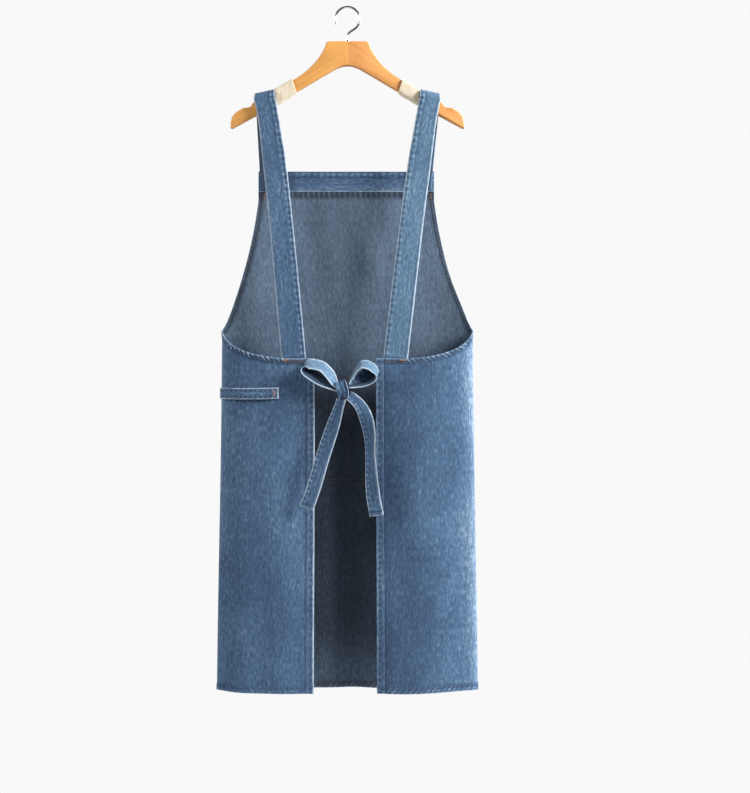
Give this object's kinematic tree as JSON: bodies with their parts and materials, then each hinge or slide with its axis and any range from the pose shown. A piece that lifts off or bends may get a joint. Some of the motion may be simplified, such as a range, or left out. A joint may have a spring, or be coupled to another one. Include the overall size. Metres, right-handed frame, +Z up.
{
  "type": "apron on a hook",
  "caption": "Denim pinafore apron with wide shoulder straps and a bow at the open back, hung by its straps on a flat wooden hanger with a swivelling wire hook.",
  "frame": {"origin": "inside top of the hook, where it rests on a rail", "axes": "+Z up, +X to the right of someone who looks at the tied back, +Y towards the front of the garment"},
  "size_m": [0.445, 0.092, 1.1687],
  "materials": {
    "steel": "bright plated wire",
    "wood": "clear satin lacquer on pale warm wood",
    "grip_wrap": "matt cream woven wrap",
    "denim": "washed mid-blue twill, paler inside",
    "thread": "orange-brown stitching"
  },
  "bodies": {
    "hook": {"hook_wire": "steel", "hook_collar": "steel", "hook_nut": "steel"},
    "hanger": {"hanger_left_half": "wood", "hanger_right_half": "wood", "grip_wrap_left": "grip_wrap", "grip_wrap_right": "grip_wrap"},
    "apron": {"front_panel": "denim", "bib_top_band": "denim", "front_pocket": "denim", "back_panel_left": "denim", "back_panel_right": "denim", "shoulder_strap_left": "denim", "shoulder_strap_right": "denim", "towel_loop": "denim", "tie_base_left": "denim", "tie_base_right": "denim", "bow_loop_left": "denim", "bow_loop_right": "denim", "bow_knot": "denim", "bib_bar_tack_left": "thread", "bib_bar_tack_right": "thread", "strap_bar_tack_left": "thread", "strap_bar_tack_right": "thread", "towel_loop_bar_tack": "thread"},
    "tail_left": {"tie_tail_left": "denim"},
    "tail_right": {"tie_tail_right": "denim"}
  },
  "joints": [
    {"name": "hook_swivel", "type": "hinge", "parent": "hook", "child": "hanger", "pos_m": [0, 0, -0.058], "axis": [0, 0, 1], "continuous": true},
    {"name": "apron_swing", "type": "hinge", "parent": "hanger", "child": "apron", "pos_m": [0, 0, -0.1553], "axis": [1, 0, 0], "range_deg": [-8, 8]},
    {"name": "tail_right_swing", "type": "hinge", "parent": "apron", "child": "tail_right", "pos_m": [0.004, -0.047, -0.667], "axis": [-1, 0, 0], "range_deg": [0, 30]},
    {"name": "tail_left_swing", "type": "hinge", "parent": "tail_right", "child": "tail_left", "pos_m": [-0.009, -0.047, -0.667], "axis": [-1, 0, 0], "range_deg": [0, 25]}
  ]
}
